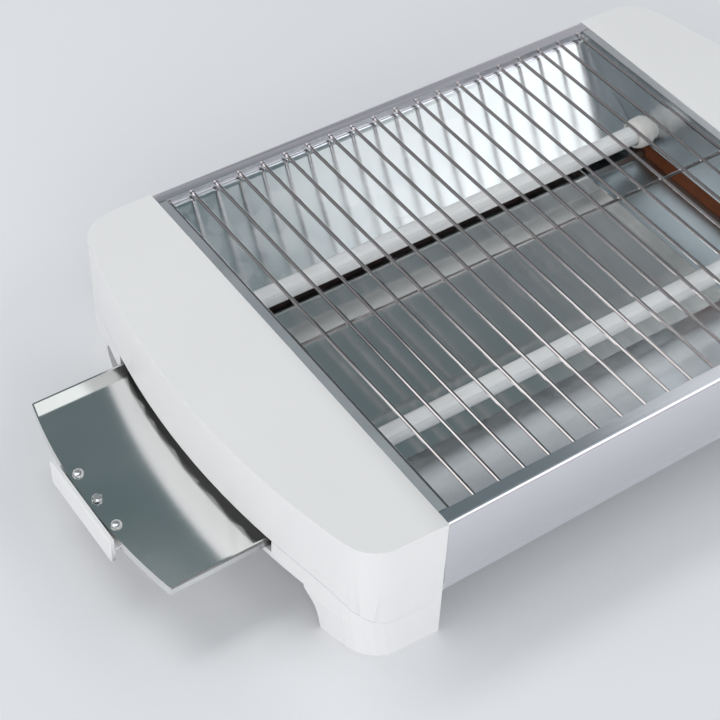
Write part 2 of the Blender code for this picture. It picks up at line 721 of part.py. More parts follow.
def make_crumb_tray():
    material = finish_material("crumb_tray", (0.55, 0.58, 0.60), 0.18, 1.0)
    pan = prism(tray_outline(0.0), TRAY_BOTTOM, TRAY_TOP, along_z)
    tray = add_object("crumb_tray", pan, material)
    floor = TRAY_BOTTOM + TRAY_SHEET
    cut(tray, prism(tray_outline(TRAY_SHEET), floor, TRAY_TOP + OVERRUN, along_z))
    holes = bmesh.new()
    for y in (-STAKE_Y, 0.0, STAKE_Y):
        join_into(holes, rod_z(FIXING_X, y, TRAY_BOTTOM - OVERRUN, floor + OVERRUN,
                               STAKE_RADIUS + GAP))
    cut(tray, holes)
    return tray


def make_tray_handle():
    """Upright grip with a flange under the tray, staked through its floor."""
    top = TRAY_TOP
    bottom = top - HANDLE_DROP
    far = HANDLE_FACE_X + HANDLE_WALL + HANDLE_FLANGE_REACH
    section = [(HANDLE_FACE_X, bottom), (HANDLE_FACE_X + HANDLE_WALL, bottom),
               (HANDLE_FACE_X + HANDLE_WALL, FLANGE_TOP - HANDLE_FLANGE),
               (far, FLANGE_TOP - HANDLE_FLANGE), (far, FLANGE_TOP),
               (HANDLE_FACE_X + HANDLE_WALL, FLANGE_TOP), (HANDLE_FACE_X + HANDLE_WALL, top),
               (HANDLE_FACE_X, top)]
    grip = prism(section, -HANDLE_HALF, HANDLE_HALF, along_y)
    bmesh.ops.recalc_face_normals(grip, faces=grip.faces)
    face_edges = [edge for edge in grip.edges
                  if all(abs(vert.co.x - HANDLE_FACE_X) < GAP / 10 for vert in edge.verts)]
    bmesh.ops.bevel(grip, geom=face_edges, offset=HANDLE_ROUND, segments=2, profile=0.5,
                    affect="EDGES", material=-1, clamp_overlap=True)
    handle = add_object("tray_handle", grip, white_plastic("tray_handle"))
    floor = TRAY_BOTTOM + TRAY_SHEET
    for hand in (-1, 1):
        join(handle, rod_z(FIXING_X, hand * STAKE_Y, FLANGE_TOP - HANDLE_FLANGE / 2,
                           floor + GAP + STAKE_HEAD, STAKE_RADIUS))
        join(handle, rod_z(FIXING_X, hand * STAKE_Y, floor + GAP,
                           floor + GAP + STAKE_HEAD, STAKE_HEAD_RADIUS))
    cut(handle, rod_z(FIXING_X, 0.0, FLANGE_TOP - HANDLE_FLANGE - OVERRUN,
                      FLANGE_TOP + OVERRUN / 10, SCREW_RADIUS + GAP))
    return handle


def screw(x, y, z, up, reach, head_radius=SCREW_HEAD_RADIUS):
    """A screw whose head's inner face is at z, pointing up (1) or down (-1)."""
    sides = ROUND_SIDES
    builder = bmesh.new()
    stations = [(-up * SCREW_HEAD, head_radius * 0.75), (-up * SCREW_HEAD / 2, head_radius),
                (0.0, head_radius), (0.0, SCREW_RADIUS), (up * reach, SCREW_RADIUS)]
    rings = []
    for level, radius in stations:
        rings.append([builder.verts.new((x + a, y + b, z + level))
                      for a, b in ring_points(radius, sides)])
    builder.faces.new(rings[0])
    builder.faces.new(rings[-1])
    for low, high in zip(rings, rings[1:]):
        for i in range(sides):
            j = (i + 1) % sides
            builder.faces.new((low[i], low[j], high[j], high[i]))
    return builder


def make_handle_screw():
    floor = TRAY_BOTTOM + TRAY_SHEET
    reach = GAP + TRAY_SHEET + GAP + HANDLE_FLANGE
    builder = screw(FIXING_X, 0.0, floor + GAP, -1, reach, STAKE_HEAD_RADIUS)
    return add_object("tray_handle_screw", builder, bright_steel("tray_handle_screw"))


def corner_name(side, hand):
    return ("left" if side < 0 else "right") + ("_front" if hand < 0 else "_rear")


def make_base_screw(side, hand):
    """A screw that goes up through a leg into the cover."""
    x, y = cap_boss(side, hand)
    name = corner_name(side, hand) + "_base_screw"
    builder = screw(x, y, SCREW_RECESS + SCREW_HEAD - GAP, 1, BOSS_BOTTOM + SCREW_REACH / 2)
    return add_object(name, builder, bright_steel(name))


def make_chassis_screw(side, hand):
    """A screw that holds an end plate's tab down on the base."""
    x = side * (CAP_X + SCREW_TAB_REACH / 2)
    name = corner_name(side, hand) + "_chassis_screw"
    builder = screw(x, hand * SCREW_TAB_Y, WEB_TOP + SHEET + 2 * GAP, -1, TAB_SCREW_REACH)
    return add_object(name, builder, bright_steel(name))


# Heating tubes

def ceramic_back_x(side):
    """Back of a ceramic from the middle: a collar holds it off the plate at one end."""
    return PLATE_X - GAP - (CERAMIC_COLLAR if side > 0 else 0.0)


def make_quartz_tube(name, hand):
    left, right = (side * (ceramic_back_x(side) - CERAMIC_DEPTH + SOCKET_DEPTH - GAP)
                   for side in (-1, 1))
    bore = TUBE_RADIUS - TUBE_WALL
    profile = [(left, bore), (left, TUBE_RADIUS), (right, TUBE_RADIUS), (right, bore)]
    material = finish_material(name, (0.88, 0.90, 0.91), 0.35)
    tube = add_object(name, turned_x(profile, hand * TUBE_Y, TUBE_Z), material)
    smooth(tube)
    return tube


def coil_end_x(side):
    return side * (ceramic_back_x(side) - CERAMIC_DEPTH + SOCKET_DEPTH - COIL_END)


def make_heating_coil(name, hand):
    material = finish_material(name, (0.30, 0.29, 0.28), 0.5, 1.0)
    rod = rod_x(hand * TUBE_Y, TUBE_Z, coil_end_x(-1), coil_end_x(1), COIL_RADIUS,
                ROUND_SIDES)
    coil = add_object(name, rod, material)
    smooth(coil)
    return coil


def make_ceramic(name, side, hand):
    """Domed holder on the end plate, with a socket for the tube and a neck."""
    plate = PLATE_X - GAP
    near = ceramic_back_x(side)
    bore = PIN_RADIUS + GAP
    socket = TUBE_RADIUS + GAP
    ring = CERAMIC_RADIUS - CERAMIC_BACK
    collar = [(plate, ring)] if near < plate else []
    back = bend((near - CERAMIC_BACK, ring), CERAMIC_BACK, 0, 90)
    shoulder = near - CERAMIC_SHOULDER
    tip = near - CERAMIC_DEPTH
    rim = (socket + CERAMIC_RADIUS) / 2
    dome = bend((shoulder, rim), CERAMIC_RADIUS - rim, 90, 180, 4)
    depth = (shoulder - tip) / (CERAMIC_RADIUS - rim)
    dome = [(shoulder + (x - shoulder) * depth, radius) for x, radius in dome]
    profile = [(PLATE_X + NECK_LENGTH, bore), (PLATE_X + NECK_LENGTH, NECK_RADIUS),
               (plate, NECK_RADIUS)] + collar + back + dome
    profile += [(tip, socket), (tip + SOCKET_DEPTH, socket), (tip + SOCKET_DEPTH, bore)]
    profile = [(side * x, radius) for x, radius in profile]
    piece = add_object(name, turned_x(profile, hand * TUBE_Y, TUBE_Z), ceramic(name))
    smooth(piece, 40)
    return piece


def pin_end_x(side):
    return side * (PLATE_X + NECK_LENGTH + PIN_TAIL)


def make_contact_pin(side, hand):
    """The pin that carries the current through a ceramic."""
    name = corner_name(side, hand) + "_contact_pin"
    start = coil_end_x(side) + side * GAP
    pin = rod_x(hand * TUBE_Y, TUBE_Z, start, pin_end_x(side), PIN_RADIUS)
    return add_object(name, pin, finish_material(name, (0.72, 0.68, 0.55), 0.35, 1.0))


# Right-hand cap: insulating board, timer, wiring and the cord inlet

def make_insulation_board():
    """Fibre board against the back of the end plate, notched over ribs and tabs."""
    foot = FLOOR_TOP + GAP
    x0 = BOARD_X
    board = block((x0, -BOARD_HALF, foot), (x0 + BOARD_THICKNESS, BOARD_HALF, BOARD_TOP))
    material = finish_material("insulation_board", (0.20, 0.07, 0.03), 0.55)
    thing = add_object("insulation_board", board, material)
    holes = bmesh.new()
    tab = SCREW_TAB_WIDTH / 2 + GAP
    rib = RUNNER_WIDTH / 2 + RUNNER_HEIGHT / 2 + SHEET
    for hand in (-1, 1):
        join_into(holes, rod_x(hand * TUBE_Y, TUBE_Z, x0 - OVERRUN, x0 + 2 * OVERRUN,
                               NECK_RADIUS + GAP, ROUND_SIDES))
        for middle, half, top in ((SCREW_TAB_Y, tab, WEB_TOP + GAP + SHEET),
                                  ((RUNNER_OUTER_Y + RUNNER_INNER_Y) / 2, rib,
                                   FLOOR_TOP + RUNNER_HEIGHT)):
            join_into(holes, block((x0 - OVERRUN, hand * middle - half, foot - OVERRUN),
                                   (x0 + 2 * OVERRUN, hand * middle + half, top + GAP)))
    cut(thing, holes)
    return thing


def timer_front_x():
    edge = TIMER_HALF_WIDTH
    inner = CAP_BOW - CAP_WALL
    return BOW_CENTRE_X + math.sqrt(inner ** 2 - edge ** 2) - GAP


def make_timer_body():
    front = timer_front_x()
    case = block((front - TIMER_DEPTH, -TIMER_HALF_WIDTH, TIMER_Z - TIMER_HALF_HEIGHT),
                 (front, TIMER_HALF_WIDTH, TIMER_Z + TIMER_HALF_HEIGHT))
    material = finish_material("timer_body", (0.32, 0.32, 0.33), 0.5, 0.6)
    body = add_object("timer_body", case, material)
    thread = CAP_END_X + NUT_HEIGHT
    join(body, rod_x(0.0, TIMER_Z, front - OVERRUN, thread, THREAD_RADIUS, ROUND_SIDES))
    cut(body, rod_x(0.0, TIMER_Z, front - TIMER_DEPTH / 2, thread + OVERRUN,
                    SHAFT_RADIUS + GAP, ROUND_SIDES))
    return body


def make_timer_nut():
    start = CAP_END_X + GAP
    nut = rod_x(0.0, TIMER_Z, start, start + NUT_HEIGHT - GAP, NUT_RADIUS, 6)
    thing = add_object("timer_nut", nut, bright_steel("timer_nut"))
    cut(thing, rod_x(0.0, TIMER_Z, start - OVERRUN, start + NUT_HEIGHT + OVERRUN,
                     THREAD_RADIUS + GAP, ROUND_SIDES))
    return thing


def make_timer_shaft():
    """Shaft from inside the timer to inside the knob, flatted at its outer end."""
    start = timer_front_x() - TIMER_DEPTH / 2 + GAP
    end = KNOB_FRONT_X - KNOB_WALL - GAP
    shaft = add_object("timer_shaft", rod_x(0.0, TIMER_Z, start, end, SHAFT_RADIUS, ROUND_SIDES),
                       bright_steel("timer_shaft"))
    flat_z = TIMER_Z + SHAFT_RADIUS - SHAFT_FLAT
    cut(shaft, block((CAP_END_X + NUT_HEIGHT + GAP, -SHAFT_RADIUS - OVERRUN, flat_z),
                     (end + OVERRUN, SHAFT_RADIUS + OVERRUN, flat_z + OVERRUN)))
    return shaft


def make_timer_knob():
    """Cup-shaped knob with a grip bar across its face and a hub on the shaft."""
    back = KNOB_BACK_X
    face = KNOB_FRONT_X - GRIP_HEIGHT
    lip = KNOB_WALL / 2
    outer = [(back, KNOB_RADIUS), (face - lip, KNOB_RADIUS - lip / 2)]
    outer += [(face, KNOB_RADIUS - 2 * lip)]
    hub = SHAFT_RADIUS + GAP + KNOB_WALL
    bore = SHAFT_RADIUS + GAP
    hub_back = CAP_END_X + NUT_HEIGHT + 2 * GAP
    profile = [(face, bore)] + outer[::-1] + [(back, KNOB_RADIUS - KNOB_WALL),
               (face - KNOB_WALL, KNOB_RADIUS - KNOB_WALL - lip), (face - KNOB_WALL, hub),
               (hub_back, hub), (hub_back, bore)]
    material = finish_material("timer_knob", (0.78, 0.78, 0.77), 0.4)
    knob = add_object("timer_knob", turned_x(profile, 0.0, TIMER_Z, 2 * ROUND_SIDES), material)
    reach = KNOB_RADIUS - KNOB_WALL
    grip = block((face - KNOB_WALL / 2, -GRIP_HALF, TIMER_Z - reach),
                 (KNOB_FRONT_X, GRIP_HALF, TIMER_Z + reach))
    join(knob, grip)
    cut(knob, rod_x(0.0, TIMER_Z, back - OVERRUN, KNOB_FRONT_X - KNOB_WALL,
                    SHAFT_RADIUS + GAP, ROUND_SIDES))
    smooth(knob)
    return knob


def make_terminal_block():
    size = BLOCK_SIZE
    low = (CAP_X + BLOCK_X, BLOCK_Y - size[1] / 2, WEB_TOP + GAP)
    high = tuple(a + b for a, b in zip(low, size))
    material = finish_material("terminal_block", (0.83, 0.80, 0.70), 0.5)
    thing = add_object("terminal_block", block(low, high), material)
    holes = bmesh.new()
    for i in range(3):
        y = low[1] + size[1] * (2 * i + 1) / 6
        join_into(holes, rod_z((low[0] + high[0]) / 2, y, low[2] + size[2] / 2,
                               high[2] + OVERRUN, SCREW_RADIUS))
    cut(thing, holes)
    return thing


def make_cord_bushing():
    """Inlet for the supply cord in the rear wall of the right-hand cover."""
    x = CAP_X + BUSH_X
    wall = PANEL_Y - CAP_SIDE_TAPER * (BUSH_X - BUSH_FLANGE) / CAP_LENGTH
    inner = wall - BUSH_LENGTH
    outer = wall + GAP + BUSH_LIP
    bush = rod_y(x, BUSH_Z, inner, wall + GAP + BUSH_LIP / 2, BUSH_RADIUS, ROUND_SIDES)
    material = finish_material("cord_bushing", (0.75, 0.75, 0.74), 0.6)
    thing = add_object("cord_bushing", bush, material)
    join(thing, rod_y(x, BUSH_Z, wall + GAP, outer, BUSH_FLANGE, ROUND_SIDES))
    cut(thing, rod_y(x, BUSH_Z, inner - OVERRUN, outer + OVERRUN, BUSH_BORE, ROUND_SIDES))
    return thing


def rounded_route(corners, reach, steps=4):
    """Points along a route whose corners are rounded off over a distance."""
    corners = [Vector(corner) for corner in corners]
    points = [corners[0]]
    for before, corner, after in zip(corners, corners[1:], corners[2:]):
        start = corner + (before - corner).normalized() * reach
        end = corner + (after - corner).normalized() * reach
        for i in range(steps + 1):
            share = i / steps
            near = start.lerp(corner, share)
            points.append(near.lerp(corner.lerp(end, share), share))
    return points + [corners[-1]]


def make_lead(name, corners):
    lead = swept_rod(rounded_route(corners, LEAD_BEND), LEAD_RADIUS)
    return add_object(name, lead, finish_material(name, (0.82, 0.80, 0.74), 0.7))


def make_left_lead():
    """Lead that joins the two tubes at the tray end."""
    start = pin_end_x(-1) - GAP
    turn = start - 2 * LEAD_BEND
    return make_lead("left_lead", [(start, -TUBE_Y, TUBE_Z), (turn, -TUBE_Y, TUBE_Z),
                                   (turn, 0.0, TUBE_Z - LEAD_SAG), (turn, TUBE_Y, TUBE_Z),
                                   (start, TUBE_Y, TUBE_Z)])


def make_right_leads():
    """Leads between the tubes, the timer and the terminal block."""
    start = pin_end_x(1) + GAP
    tag_x = timer_front_x() - TIMER_DEPTH / 2
    tag_y = TIMER_HALF_WIDTH + GAP
    stub_y = tag_y + 2 * LEAD_BEND
    entry_x = CAP_X + BLOCK_X + BLOCK_SIZE[0] / 2
    entry_y = BLOCK_Y - BLOCK_SIZE[1] / 3
    entry_z = WEB_TOP + GAP + BLOCK_SIZE[2] * 0.8
    return [
        make_lead("front_tube_lead", [(start, -TUBE_Y, TUBE_Z), (tag_x, -TUBE_Y, TUBE_Z),
                                      (tag_x, -stub_y, TIMER_Z), (tag_x, -tag_y, TIMER_Z)]),
        make_lead("rear_tube_lead", [(start, TUBE_Y, TUBE_Z), (entry_x, entry_y, TUBE_Z),
                                     (entry_x, entry_y, entry_z)]),
        make_lead("timer_lead", [(tag_x, tag_y, TIMER_Z), (tag_x, stub_y, TIMER_Z),
                                 (entry_x, BLOCK_Y, TIMER_Z), (entry_x, BLOCK_Y, entry_z)]),
    ]


# Assembly

def add_empty(name, place, parent):
    empty = bpy.data.objects.new(name, None)
    bpy.context.scene.collection.objects.link(empty)
    empty.parent = parent
    empty.location = place
    return empty


def attach(pieces, parent, pivot=(0.0, 0.0, 0.0)):
    """Parents pieces to an empty whose place in the model is the pivot."""
    for piece in pieces:
        piece.parent = parent
        piece.location = tuple(-a for a in pivot)


def make_fixed_pieces():
    pieces = [
        make_panel("front_panel", -1), make_panel("rear_panel", 1),
        make_reflector("front_reflector", -1), make_reflector("rear_reflector", 1),
        make_end_plate("left_end_plate", -1), make_end_plate("right_end_plate", 1),
        make_bottom_plate(), make_wire_grill(),
        make_cover("left_cover", -1), make_cover("right_cover", 1),
        make_base("left_base", -1, True), make_base("right_base", 1, False),
        make_insulation_board(), make_timer_body(), make_timer_nut(),
        make_terminal_block(), make_cord_bushing(), make_left_lead(), *make_right_leads(),
    ]
    for side in (-1, 1):
        for hand in (-1, 1):
            pieces.append(make_base_screw(side, hand))
            pieces.append(make_chassis_screw(side, hand))
            pieces.append(make_contact_pin(side, hand))
    for hand, row in ((-1, "front"), (1, "rear")):
        pieces.append(make_quartz_tube(row + "_quartz_tube", hand))
        pieces.append(make_heating_coil(row + "_heating_coil", hand))
        for side, end in ((-1, "left"), (1, "right")):
            pieces.append(make_ceramic(row + "_" + end + "_ceramic", side, hand))
    return {piece.name: piece for piece in pieces}


def open_right_cover(cover):
    """Holes for the timer's thread and the cord bushing."""
    cut(cover, rod_x(0.0, TIMER_Z, CAP_END_X - CAP_WALL - OVERRUN, CAP_END_X + OVERRUN,
                     THREAD_RADIUS + GAP, ROUND_SIDES))
    x = CAP_X + BUSH_X
    cut(cover, rod_y(x, BUSH_Z, PANEL_Y - CAP_SIDE_TAPER - BUSH_LENGTH, PANEL_Y + OVERRUN,
                     BUSH_RADIUS + GAP, ROUND_SIDES))
    smooth(cover, 25)


def main():
    clear_scene()
    root = add_empty("toaster_origin", (CENTRE_SHIFT, 0.0, 0.0), None)
    fixed = make_fixed_pieces()
    open_right_cover(fixed["right_cover"])
    attach(fixed.values(), root)
    slide = add_empty("tray_slide", (0.0, 0.0, TRAY_BOTTOM), root)
    attach([make_crumb_tray(), make_tray_handle(), make_handle_screw()], slide,
           (0.0, 0.0, TRAY_BOTTOM))
    pivot = (KNOB_BACK_X, 0.0, TIMER_Z)
    axis = add_empty("timer_axis", pivot, root)
    attach([make_timer_knob(), make_timer_shaft()], axis, pivot)


main()
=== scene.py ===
# %% [markdown]
# # A flat toaster, dressed
# The solids of this toaster were packed with their joints. This script loads them as a
# fixed frame, lights them softly, and gives every sheet, wire, tube and moulding a
# finish of its own. A few pieces too fine for the solids are added at the end.

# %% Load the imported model
import json
import math

import bmesh
import bpy
from mathutils import Matrix, Vector


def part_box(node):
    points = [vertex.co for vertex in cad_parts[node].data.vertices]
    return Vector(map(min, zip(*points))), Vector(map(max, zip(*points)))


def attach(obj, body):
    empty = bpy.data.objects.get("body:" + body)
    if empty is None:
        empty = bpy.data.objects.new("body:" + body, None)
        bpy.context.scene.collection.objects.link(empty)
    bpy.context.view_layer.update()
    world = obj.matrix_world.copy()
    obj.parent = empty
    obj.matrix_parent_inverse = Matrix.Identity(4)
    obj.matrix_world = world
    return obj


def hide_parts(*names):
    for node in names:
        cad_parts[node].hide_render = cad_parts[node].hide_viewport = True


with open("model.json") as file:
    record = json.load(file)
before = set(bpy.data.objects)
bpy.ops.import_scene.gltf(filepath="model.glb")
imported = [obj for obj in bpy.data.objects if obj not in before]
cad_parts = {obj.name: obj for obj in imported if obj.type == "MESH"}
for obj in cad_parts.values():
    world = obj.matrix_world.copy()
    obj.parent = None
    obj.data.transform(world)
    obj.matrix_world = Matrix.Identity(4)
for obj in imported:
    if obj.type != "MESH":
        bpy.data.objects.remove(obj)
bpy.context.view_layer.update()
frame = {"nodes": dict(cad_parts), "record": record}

nodes = frame["nodes"]

# %% [markdown]
# ## Camera
# The photograph was taken from above the left front corner, turned a few degrees. The
# place and the angles come from the straight edges and the even pitch of the wires. A
# camera looks along its own -Z, so it is tipped up from straight down, swung round
# to the right and then rolled about its own line of sight.

# %% Camera
CAMERA_PLACE = (-0.39065, -0.43528, 0.59520)
CAMERA_TIP = math.radians(44.122)
CAMERA_SWING = math.radians(-36.370)
CAMERA_ROLL = math.radians(2.598)

camera_data = bpy.data.cameras.new("camera")
camera_data.sensor_width = 36.0
camera_data.lens = 90.17
camera = bpy.data.objects.new("camera", camera_data)
camera.matrix_world = (Matrix.Translation(CAMERA_PLACE)
                       @ Matrix.Rotation(CAMERA_SWING, 4, "Z")
                       @ Matrix.Rotation(CAMERA_TIP, 4, "X")
                       @ Matrix.Rotation(CAMERA_ROLL, 4, "Z"))
bpy.context.scene.collection.objects.link(camera)
bpy.context.scene.camera = camera
bpy.context.scene.view_settings.view_transform = "Standard"
print("camera at", [round(a, 3) for a in camera.location])

# %% [markdown]
# ## Writing materials
# A procedural finish is mostly arithmetic on noise. Drawn as a node tree it is hard to
# read, so a small class wraps a socket and lets plain Python sums add the Math nodes.
# A second class holds one material. Its `node` method adds any other node, and `onto`
# puts the material on the solids that are named.

# %% Sums on sockets
class Value:
    """A socket that takes part in sums: each sum adds a Math node."""

    def __init__(self, finish, socket):
        self.finish = finish
        self.socket = socket

    def math(self, operation, first, second=None):
        inputs = {0: first} if second is None else {0: first, 1: second}
        return self.finish.node("ShaderNodeMath", {"operation": operation}, inputs)

    def __add__(self, other):
        return self.math("ADD", self, other)

    def __radd__(self, other):
        return self.math("ADD", other, self)

    def __mul__(self, other):
        return self.math("MULTIPLY", self, other)

    def size(self):
        return self.math("ABSOLUTE", self)


# %% One material and its nodes
class Finish:
    """A material, built a node at a time."""

    def __init__(self, name, **constants):
        self.material = bpy.data.materials.new(name)
        self.material.use_nodes = True
        self.tree = self.material.node_tree
        self.shader = self.tree.nodes["Principled BSDF"]
        for socket, value in constants.items():
            self.set(socket.replace("_", " ").title().replace("Ior", "IOR"), value)

    def feed(self, socket, value):
        if isinstance(value, Value):
            self.tree.links.new(value.socket, socket)
        elif isinstance(value, tuple) and len(value) == 3 and socket.type == "RGBA":
            socket.default_value = (*value, 1.0)
        else:
            socket.default_value = value

    def set(self, socket, value):
        self.feed(self.shader.inputs[socket], value)

    def node(self, kind, settings=None, inputs=None, output=0):
        made = self.tree.nodes.new(kind)
        for name, value in (settings or {}).items():
            setattr(made, name, value)
        for name, value in (inputs or {}).items():
            self.feed(made.inputs[name], value)
        return Value(self, made.outputs[output])

    def place(self, scale=(1.0, 1.0, 1.0)):
        """Points of the object, stretched by a scale on each axis."""
        point = self.node("ShaderNodeTexCoord", output="Object")
        return self.node("ShaderNodeMapping", None, {"Vector": point, "Scale": scale})

    def along(self, axis):
        """How far a point of the object lies along an axis, in metres."""
        return self.node("ShaderNodeSeparateXYZ", None, {"Vector": self.place()}, axis)

    def noise(self, scale, detail, stretch=(1.0, 1.0, 1.0)):
        return self.node("ShaderNodeTexNoise", None,
                         {"Vector": self.place(stretch), "Scale": scale,
                          "Detail": detail})

    def step(self, value, low, high):
        """0 below low, 1 above high, and a smooth rise between them."""
        return self.node("ShaderNodeMapRange", {"interpolation_type": "SMOOTHSTEP"},
                         {"Value": value, "From Min": low, "From Max": high})

    def mix(self, factor, first, second):
        return self.node("ShaderNodeMix", {"data_type": "RGBA"},
                         {0: factor, 6: first, 7: second}, 2)

    def bump(self, height, distance, strength):
        self.set("Normal", self.node("ShaderNodeBump", None,
                                     {"Height": height, "Distance": distance,
                                      "Strength": strength}))

    def onto(self, *names):
        for name in names:
            slots = nodes[name].data.materials
            slots.clear()
            slots.append(self.material)


# %% [markdown]
# ## Table and light
# A plain pale table in a plain room whose walls are paler than its ceiling. Bright sheet
# shows what is around it more than what falls on it, so the ceiling is kept dim where
# the level sheet mirrors it. The soft boxes hang beside that region: one at the right,
# with a brighter core, is what the rear reflector shows, those at the left and in front
# light the white ends, and one overhead and a little behind lights the table and the
# level faces, and leaves the shade along the front panel. The one behind is what the
# round wires show as a pale line along each.

# %% Table
table = Finish("table", roughness=0.6)
cloud = table.noise(3.0, 3.0)
table.set("Base Color", table.mix(cloud, (0.81, 0.815, 0.835), (0.84, 0.845, 0.86)))
TABLE_REACH = 6.0
floor_mesh = bmesh.new()
bmesh.ops.create_grid(floor_mesh, x_segments=1, y_segments=1, size=TABLE_REACH)
floor_data = bpy.data.meshes.new("table")
floor_mesh.to_mesh(floor_data)
floor_mesh.free()
floor_data.materials.append(table.material)
floor = bpy.data.objects.new("table", floor_data)
bpy.context.scene.collection.objects.link(floor)

# %% Room
WALL = (0.55, (0.56, 0.55, 0.57))
COVE = (0.645, (0.18, 0.20, 0.215))
CEILING = (0.74, (0.10, 0.14, 0.15))

world = bpy.data.worlds.new("room")
bpy.context.scene.world = world
world.use_nodes = True
room = world.node_tree
background = room.nodes["Background"]
direction = room.nodes.new("ShaderNodeTexCoord")
height = room.nodes.new("ShaderNodeSeparateXYZ")
room.links.new(direction.outputs["Generated"], height.inputs["Vector"])
shade = room.nodes.new("ShaderNodeValToRGB")
wall_stop, ceiling_stop = shade.color_ramp.elements
wall_stop.position, wall_colour = WALL
wall_stop.color = (*wall_colour, 1.0)
ceiling_stop.position, ceiling_colour = CEILING
ceiling_stop.color = (*ceiling_colour, 1.0)
cove_height, cove_colour = COVE
shade.color_ramp.elements.new(cove_height).color = (*cove_colour, 1.0)
room.links.new(height.outputs["Z"], shade.inputs["Fac"])
room.links.new(shade.outputs["Color"], background.inputs["Color"])
background.inputs["Strength"].default_value = 1.0
print("room: walls", wall_colour, "cove", cove_colour, "ceiling", ceiling_colour)


# %% Soft boxes
def add_soft_box(name, middle, along, across, brightness):
    """An area lamp. Each side is given as a direction as long as the side."""
    along, across = Vector(along), Vector(across)
    data = bpy.data.lights.new(name, "AREA")
    data.shape = "RECTANGLE"
    data.size, data.size_y = along.length, across.length
    data.energy = brightness * math.pi * along.length * across.length
    facing = along.normalized().cross(across.normalized())
    axes = Matrix((along.normalized(), across.normalized(), facing)).transposed()
    lamp = bpy.data.objects.new(name, data)
    lamp.matrix_world = Matrix.Translation(middle) @ axes.to_4x4()
    bpy.context.scene.collection.objects.link(lamp)
    print(name, "gives", round(data.energy, 1), "W")


RIGHT_PLACE = (1.275, -0.191, 1.136)
SOFT_BOXES = (
    # name, middle, one side, the other side, brightness
    ("right_box", RIGHT_PLACE, (1.04, -0.282, -0.728), (0.511, 1.882, 0.0), 0.70),
    ("right_core", RIGHT_PLACE, (0.70, -0.19, -0.49), (0.34, 1.25, 0.0), 0.40),
    ("left_box", (-1.65, 0.15, 0.80), (-0.16, -1.80, 0.0), (0.38, -0.034, 0.78), 1.7),
    ("front_box", (-0.85, -1.55, 0.62), (1.39, -0.80, 0.0), (0.18, 0.31, 1.04), 2.15),
    ("top_box", (-0.35, 0.50, 1.25), (1.0, 0.0, 0.0), (0.0, 0.30, 0.0), 4.2),
    ("rear_box", (-0.50, 1.12, 1.50), (0.80, 0.0, 0.0), (0.0, 0.75, 0.0), 1.6),
    ("front_right_box", (0.80, -1.15, 1.40), (0.98, 0.68, 0.0), (-0.42, 0.60, 0.73), 1.15),
)
for box in SOFT_BOXES:
    add_soft_box(*box)

# %% [markdown]
# ## White mouldings
# The end caps, their bases, the tray's handle and the knob are one white plastic with a
# very fine spark-eroded grain. The grain is a shallow bump, and the gloss wanders a
# little from place to place, which keeps a large white face from looking painted.

# %% White plastic
moulding = Finish("white_moulding", specular_ior_level=0.4)
patch = moulding.noise(14.0, 3.0)
grain = moulding.noise(1900.0, 2.0)
moulding.set("Base Color", moulding.mix(patch, (0.78, 0.78, 0.785), (0.82, 0.82, 0.82)))
moulding.set("Roughness", 0.40 + patch * 0.10 + grain * 0.05)
moulding.bump(grain, 0.00004, 0.5)
moulding.onto("left_cover", "right_cover", "left_base", "right_base", "tray_handle",
              "timer_knob")

# %% [markdown]
# ## Sheet steel
# The long panels are satin with a faint drawn grain along their length. The reflectors
# are galvanised, with soft mottled patches on a bright ground. The end plates are
# duller. The bottom sheet has painted shade on its inner face, darker and tinted teal,
# and a pale sheet colour on its outer lip. The tray is rolled bright sheet, marked by
# use, with painted shade, nearly black, on its long walls where they lie inside the
# toaster. The folded edge of those walls has a finish of its own: painted shade, darker
# than the tray sheet, with a fine grain.

# %% Satin panels
satin = Finish("satin_panel", metallic=1.0)
streak = satin.noise(240.0, 3.0, (0.25, 2.0, 2.0))
haze = satin.noise(9.0, 2.0)
satin.set("Base Color", satin.mix(streak, (0.77, 0.77, 0.82), (0.83, 0.82, 0.86)))
satin.set("Roughness", 0.13 + haze * 0.10)
satin.bump(streak, 0.00003, 0.4)
satin.onto("front_panel", "rear_panel")

# %% Galvanised sheet
zinc = Finish("galvanised_sheet", metallic=1.0)
spangle = zinc.node("ShaderNodeTexVoronoi", None, {"Vector": zinc.place(), "Scale": 130.0},
                    "Color")
mottle = zinc.noise(45.0, 4.0)
flake = zinc.node("ShaderNodeSeparateColor", None, {"Color": spangle})
blend = mottle * 0.7 + flake * 0.3
zinc.set("Base Color", zinc.mix(blend, (0.76, 0.80, 0.83), (0.93, 0.94, 0.95)))
zinc.set("Roughness", 0.12 + blend * 0.12)
zinc.bump(mottle, 0.00006, 0.25)
zinc.onto("front_reflector", "rear_reflector")

plate = Finish("end_sheet", metallic=1.0)
film = plate.noise(30.0, 4.0)
plate.set("Base Color", plate.mix(film, (0.60, 0.64, 0.67), (0.78, 0.80, 0.81)))
plate.set("Roughness", 0.26 + film * 0.12)
plate.bump(film, 0.00005, 0.2)
plate.onto("left_end_plate", "right_end_plate")

pan = Finish("bottom_sheet", metallic=1.0)
pan_mottle = pan.noise(26.0, 4.0)
# Painted shade: the inner face is darker and tinted teal, and only the outer lip, past the
# step along Y, keeps a pale sheet colour.
painted_shade_inside = pan.mix(pan_mottle, (0.38, 0.45, 0.48), (0.56, 0.61, 0.64))
SHADE_ENDS, LIP_STARTS = 0.1060, 0.1085
outside = pan.step(pan.along("Y").size(), SHADE_ENDS, LIP_STARTS)
pan.set("Base Color", pan.mix(outside, painted_shade_inside, (0.80, 0.80, 0.84)))
pan.set("Roughness", 0.24 + pan_mottle * 0.12)
pan.bump(pan_mottle, 0.00005, 0.2)
pan.onto("bottom_plate")

